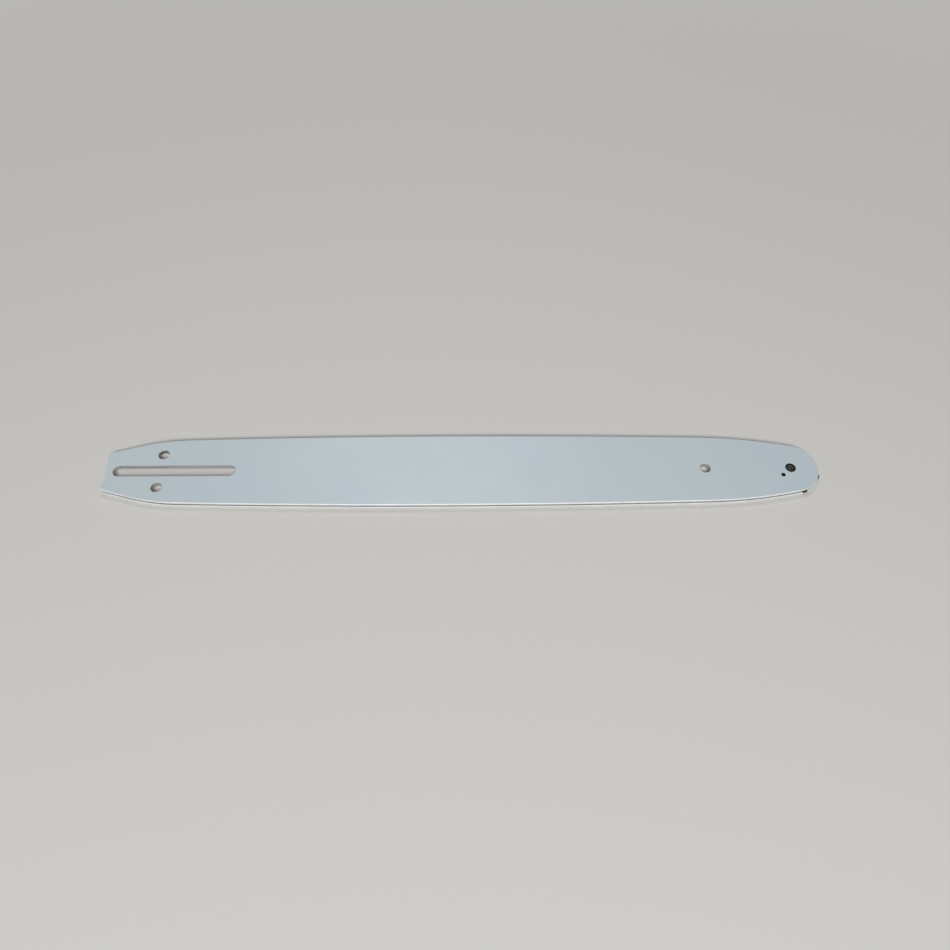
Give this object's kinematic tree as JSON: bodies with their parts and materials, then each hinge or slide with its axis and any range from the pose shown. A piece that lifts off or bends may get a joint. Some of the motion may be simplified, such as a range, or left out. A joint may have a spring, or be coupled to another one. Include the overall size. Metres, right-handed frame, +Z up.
{
  "type": "chainsaw guide bar",
  "caption": "Laminated guide bar for a small chainsaw: grooved edges for the chain, slotted tail to clamp on the saw, and a rounded nose with a turning star wheel.",
  "frame": {"origin": "middle of the bar's underside, where it lies", "axes": "+X along the bar from the tail to the nose tip, +Z up through the thickness, +Y across the bar"},
  "size_m": [0.4604, 0.053, 0.0045],
  "materials": {
    "plate_paint": "satin",
    "core_steel": "satin",
    "sprocket_steel": "satin",
    "bearing_steel": "polished",
    "rivet_black": "matte"
  },
  "bodies": {
    "bar": {"side_plate_top": "plate_paint", "side_plate_bottom": "plate_paint", "core_plate": "core_steel", "bearing_inner_race": "bearing_steel", "nose_rivet": "rivet_black"},
    "sprocket": {"nose_sprocket": "sprocket_steel"},
    "roller_set": {"bearing_roller_01": "bearing_steel", "bearing_roller_02": "bearing_steel", "bearing_roller_03": "bearing_steel", "bearing_roller_04": "bearing_steel", "bearing_roller_05": "bearing_steel", "bearing_roller_06": "bearing_steel", "bearing_roller_07": "bearing_steel", "bearing_roller_08": "bearing_steel", "bearing_roller_09": "bearing_steel", "bearing_roller_10": "bearing_steel", "bearing_roller_11": "bearing_steel", "bearing_roller_12": "bearing_steel", "bearing_roller_13": "bearing_steel", "bearing_roller_14": "bearing_steel", "bearing_roller_15": "bearing_steel", "bearing_roller_16": "bearing_steel", "bearing_roller_17": "bearing_steel", "bearing_roller_18": "bearing_steel", "bearing_roller_19": "bearing_steel", "bearing_roller_20": "bearing_steel"}
  },
  "joints": [
    {"name": "sprocket_spin", "type": "hinge", "parent": "bar", "child": "sprocket", "pos_m": [0.2123, 0, 0.00225], "axis": [0, 0, 1], "continuous": true},
    {"name": "roller_orbit", "type": "hinge", "parent": "bar", "child": "roller_set", "pos_m": [0.2123, 0, 0.00225], "axis": [0, 0, 1], "continuous": true}
  ],
  "couplings": [
    {"joint": "roller_orbit", "follows": "sprocket_spin", "ratio": 0.5791}
  ]
}
